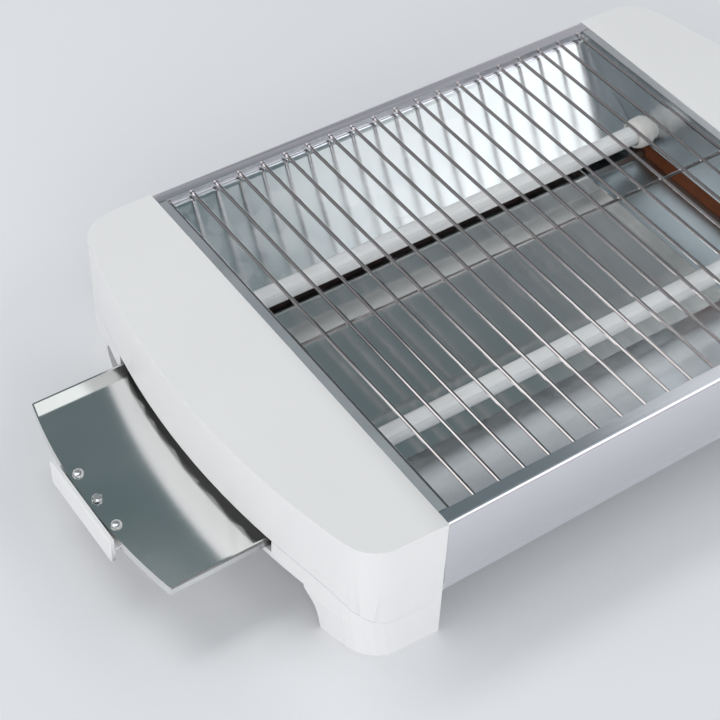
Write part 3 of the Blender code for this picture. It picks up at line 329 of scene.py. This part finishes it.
# %% Tray sheet
rolled = Finish("tray_sheet", metallic=1.0)
smear = rolled.noise(22.0, 4.0)
scratch = rolled.noise(160.0, 2.0, (0.12, 3.0, 1.0))
marks = rolled.step(scratch, 0.62, 0.78)
unshaded_sheet = rolled.mix(smear, (0.78, 0.79, 0.78), (0.88, 0.88, 0.87))
# Painted shade: the long walls turn nearly black and rougher where they run inside the
# toaster, from about x = -0.155 m on.
WALL_EDGE = (0.0560, 0.0565)
SHADE_FROM = (-0.160, -0.150)
beside = rolled.step(rolled.along("Y").size(), *WALL_EDGE)
painted_shade_walls = beside * rolled.step(rolled.along("X"), *SHADE_FROM)
rolled.set("Base Color", rolled.mix(painted_shade_walls, unshaded_sheet, (0.03, 0.022, 0.02)))
rolled.set("Roughness", 0.10 + smear * 0.08 + marks * 0.03 + painted_shade_walls * 0.4)
rolled.bump(rolled.noise(9.0, 1.0), 0.00005, 0.1)
rolled.onto("crumb_tray")

# Painted shade: the hem strip is much darker than the tray sheet it is folded from, to
# show a shade line along the fold.
folded = Finish("painted_shade_fold", metallic=1.0)
fold_grain = folded.noise(400.0, 3.0, (0.4, 1.0, 1.0))
folded.set("Base Color", folded.mix(fold_grain, (0.20, 0.19, 0.19), (0.52, 0.51, 0.50)))
folded.set("Roughness", 0.22 + fold_grain * 0.14)

# %% Bright wire and fixings
plated = Finish("bright_wire", metallic=1.0)
tarnish = plated.noise(60.0, 3.0)
plated.set("Base Color", plated.mix(tarnish, (0.32, 0.30, 0.30), (0.46, 0.44, 0.44)))
plated.set("Roughness", 0.05 + tarnish * 0.06)
plated.onto("wire_grill")

fixing = Finish("plated_fixing", metallic=1.0)
wear = fixing.noise(300.0, 3.0)
fixing.set("Base Color", fixing.mix(wear, (0.50, 0.50, 0.51), (0.74, 0.74, 0.74)))
fixing.set("Roughness", 0.18 + wear * 0.16)
fixing.onto("tray_handle_screw", "timer_nut", "timer_shaft",
            *[name for name in nodes if name.endswith(("_base_screw", "_chassis_screw"))])

# %% [markdown]
# ## Heating tubes
# Each quartz tube is milky and a little stained, so the coil inside hardly shows. The
# holders at the ends are unglazed ceramic, and brass-coloured pins carry the current.

# %% Quartz, coil and ceramic
quartz = Finish("milky_quartz", transmission_weight=0.12, ior=1.45)
cloudy = quartz.noise(55.0, 4.0, (0.35, 2.5, 2.5))
stain = quartz.step(quartz.noise(38.0, 3.0, (0.6, 1.0, 1.0)), 0.52, 0.72)
milky = quartz.mix(cloudy, (0.84, 0.86, 0.88), (0.97, 0.97, 0.96))
quartz.set("Base Color", quartz.mix(stain * 0.35, milky, (0.60, 0.57, 0.58)))
quartz.set("Roughness", 0.18 + cloudy * 0.14)
quartz.onto("front_quartz_tube", "rear_quartz_tube")

oxide = Finish("oxidised_coil", metallic=1.0)
burn = oxide.noise(200.0, 3.0)
oxide.set("Base Color", oxide.mix(burn, (0.20, 0.19, 0.18), (0.36, 0.33, 0.30)))
oxide.set("Roughness", 0.42 + burn * 0.15)
oxide.onto("front_heating_coil", "rear_heating_coil")

steatite = Finish("steatite", specular_ior_level=0.3)
pore = steatite.noise(420.0, 3.0)
steatite.set("Base Color", steatite.mix(pore, (0.76, 0.74, 0.71), (0.86, 0.85, 0.82)))
steatite.set("Roughness", 0.55 + pore * 0.15)
steatite.bump(pore, 0.00005, 0.4)
steatite.onto("front_left_ceramic", "front_right_ceramic", "rear_left_ceramic",
              "rear_right_ceramic")

brass = Finish("contact_brass", metallic=1.0)
dull = brass.noise(260.0, 3.0)
brass.set("Base Color", brass.mix(dull, (0.50, 0.44, 0.28), (0.72, 0.66, 0.48)))
brass.set("Roughness", 0.28 + dull * 0.2)
brass.onto(*[name for name in nodes if name.endswith("_contact_pin")])

# %% [markdown]
# ## Inside the timer end
# The board shows between the wires. The other pieces show only from below or through
# the window under the end plate, so each has a simple finish with its own grain.

# %% Board, timer, block, bushing and leads
fibre = Finish("fibre_board", specular_ior_level=0.3)
weave = fibre.noise(500.0, 2.0, (1.0, 0.3, 1.0))
fibre.set("Base Color", fibre.mix(weave, (0.095, 0.024, 0.006), (0.220, 0.062, 0.016)))
fibre.set("Roughness", 0.5 + weave * 0.2)
fibre.bump(weave, 0.00006, 0.4)
fibre.onto("insulation_board")

case = Finish("timer_case", metallic=0.6)
pressed = case.noise(120.0, 3.0)
case.set("Base Color", case.mix(pressed, (0.26, 0.26, 0.27), (0.38, 0.38, 0.39)))
case.set("Roughness", 0.42 + pressed * 0.18)
case.onto("timer_body")

cream = Finish("terminal_plastic", specular_ior_level=0.4)
speck = cream.noise(350.0, 2.0)
cream.set("Base Color", cream.mix(speck, (0.76, 0.72, 0.60), (0.86, 0.83, 0.73)))
cream.set("Roughness", 0.45 + speck * 0.15)
cream.onto("terminal_block")

rubber = Finish("bushing_rubber", specular_ior_level=0.3)
bloom = rubber.noise(240.0, 3.0)
rubber.set("Base Color", rubber.mix(bloom, (0.66, 0.66, 0.65), (0.76, 0.76, 0.75)))
rubber.set("Roughness", 0.6 + bloom * 0.15)
rubber.bump(bloom, 0.00005, 0.3)
rubber.onto("cord_bushing")

sleeve = Finish("glass_sleeve", specular_ior_level=0.3)
braid = sleeve.noise(900.0, 2.0, (1.0, 1.0, 0.4))
sleeve.set("Base Color", sleeve.mix(braid, (0.70, 0.67, 0.60), (0.86, 0.84, 0.79)))
sleeve.set("Roughness", 0.7 + braid * 0.15)
sleeve.bump(braid, 0.0001, 0.5)
sleeve.onto("left_lead", "front_tube_lead", "rear_tube_lead", "timer_lead")

# %% [markdown]
# ## Smooth shading
# The solids arrive as loose triangles, so each one is shaded flat and a rounded corner
# shows its facets. For the pieces with rounded surfaces a copy of the mesh takes the
# solid's place: its doubled points are merged and its faces shaded smooth up to an
# angle. A flat face beside a rounded edge would then look dished, so the Weighted
# Normal modifier lets the large faces keep their own direction. The two bases and the
# tray stay as they are, because their long thin triangles would shade in blotches.

# %% Smooth copies
record = frame["record"]
body_of = {name: body for body, names in record["behaviour"]["bodies"].items()
           for name in names}
MERGE = 0.000002
SHARP = 35.0
WELD_SHARP = 60.0
CAP_SHARP = 50.0


def add_piece(name, mesh, material, body, sharp=SHARP):
    """A mesh as a smooth piece that rides on a body."""
    data = bpy.data.meshes.new(name)
    mesh.to_mesh(data)
    mesh.free()
    data.shade_smooth()
    data.set_sharp_from_angle(angle=math.radians(sharp))
    data.materials.clear()
    data.materials.append(material)
    piece = bpy.data.objects.new(name, data)
    bpy.context.scene.collection.objects.link(piece)
    weighted = piece.modifiers.new("weighted", "WEIGHTED_NORMAL")
    weighted.keep_sharp = True
    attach(piece, body)
    return piece


def smooth_copy(name):
    mesh = bmesh.new()
    mesh.from_mesh(nodes[name].data)
    bmesh.ops.remove_doubles(mesh, verts=mesh.verts, dist=MERGE)
    piece = add_piece("smooth_" + name, mesh, nodes[name].data.materials[0],
                      body_of[name])
    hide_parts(name)


ROUNDED = ["left_cover", "right_cover", "tray_handle", "timer_knob", "timer_shaft",
           "wire_grill", "front_reflector", "rear_reflector", "front_panel", "rear_panel",
           "cord_bushing", "front_quartz_tube", "rear_quartz_tube", "left_lead",
           "front_tube_lead", "rear_tube_lead", "timer_lead"]
ROUNDED += [name for name in nodes if name.endswith("_ceramic")]
for name in ROUNDED:
    smooth_copy(name)
print(len(ROUNDED), "pieces shaded smooth")

# %% [markdown]
# ## Welds on the grill
# Each wire is resistance-welded to the cross wire under it. The weld squeezes out a
# little metal, so a small flattened nugget sits at every crossing. One ball is made per
# crossing with few faces, because twenty of them must stay light.

# %% Weld nuggets
grill_low, grill_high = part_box("wire_grill")
FIRST_WIRE_X = -0.1021
WIRE_PITCH = 0.0124
WIRE_COUNT = 20
WELD_SIZE = (0.00125, 0.00115, 0.0008)
weld_z = (grill_low[2] + grill_high[2]) / 2
welds = bmesh.new()
for index in range(WIRE_COUNT):
    shape = (Matrix.Translation((FIRST_WIRE_X + index * WIRE_PITCH, 0.0, weld_z))
             @ Matrix.Diagonal((*WELD_SIZE, 1.0)))
    bmesh.ops.create_icosphere(welds, subdivisions=2, radius=1.0, matrix=shape)
add_piece("grill_welds", welds, plated.material, "chassis", WELD_SHARP)
print("welds at z", round(weld_z, 5))

# %% [markdown]
# ## Rivet heads on the tray
# The handle's two plastic stakes come up through the tray, and a small plated cap closes
# each one. A cap is a profile turned round the stake's axis: a skirt, a rounded edge and
# a low crown. The first point sits on the axis, so the full turn merges into one skin.
# One flat face then closes the rim below, and the normals are worked out again.

# %% Rivet heads
STAKE_X = -0.1989
STAKE_Y = 0.016
CAP_FOOT_Z = 0.02882
CAP_PROFILE = ((0.0, 0.00122), (0.00100, 0.00117), (0.00175, 0.00102), (0.00222, 0.00074),
               (0.00240, 0.00035), (0.00240, 0.0))
CAP_STEPS = 40
for side, word in ((-1, "front"), (1, "rear")):
    cap = bmesh.new()
    points = [cap.verts.new((STAKE_X + radius, side * STAKE_Y, CAP_FOOT_Z + rise))
              for radius, rise in CAP_PROFILE]
    profile = [cap.edges.new(pair) for pair in zip(points, points[1:])]
    bmesh.ops.spin(cap, geom=points + profile, cent=(STAKE_X, side * STAKE_Y, 0.0),
                   axis=(0.0, 0.0, 1.0), angle=math.tau, steps=CAP_STEPS, use_merge=True)
    bmesh.ops.remove_doubles(cap, verts=cap.verts, dist=MERGE)
    rim = [edge for edge in cap.edges if len(edge.link_faces) == 1]
    bmesh.ops.contextual_create(cap, geom=rim)
    bmesh.ops.recalc_face_normals(cap, faces=cap.faces)
    print(word, "cap:", len(cap.verts), "points,", len(cap.faces), "faces")
    add_piece(word + "_rivet_cap", cap, fixing.material, "tray", CAP_SHARP)

# %% [markdown]
# ## Hems on the tray
# The tray's long walls are folded over along the top, which stiffens the sheet and
# leaves no raw edge. From outside, the fold shows as a fine line below the rim. Each hem
# is one thin strip laid against the wall: a box from a unit cube, with its long edges
# rounded.

# %% Tray hems
tray_low, tray_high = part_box("crumb_tray")
HEM_THICKNESS = 0.00022
HEM_HEIGHT = 0.0015
HEM_ROUND = 0.00009
HEM_FROM_BOW = 0.0068
for side, word in ((-1, "front"), (1, "rear")):
    long_x = (tray_low[0] + HEM_FROM_BOW, tray_high[0])
    middle = ((long_x[0] + long_x[1]) / 2, side * (tray_high[1] + HEM_THICKNESS / 2),
              tray_high[2] - HEM_HEIGHT / 2)
    size = (long_x[1] - long_x[0], HEM_THICKNESS, HEM_HEIGHT)
    hem = bmesh.new()
    bmesh.ops.create_cube(hem, size=1.0, matrix=Matrix.Translation(middle)
                          @ Matrix.Diagonal((*size, 1.0)))
    long_edges = [edge for edge in hem.edges
                  if abs(edge.verts[0].co.x - edge.verts[1].co.x) > size[0] / 2]
    bmesh.ops.bevel(hem, geom=long_edges, offset=HEM_ROUND, segments=2, profile=0.5,
                    affect="EDGES", material=-1)
    add_piece(word + "_tray_hem", hem, folded.material, "tray")
print("hems", round(long_x[1] - long_x[0], 4), "m long")
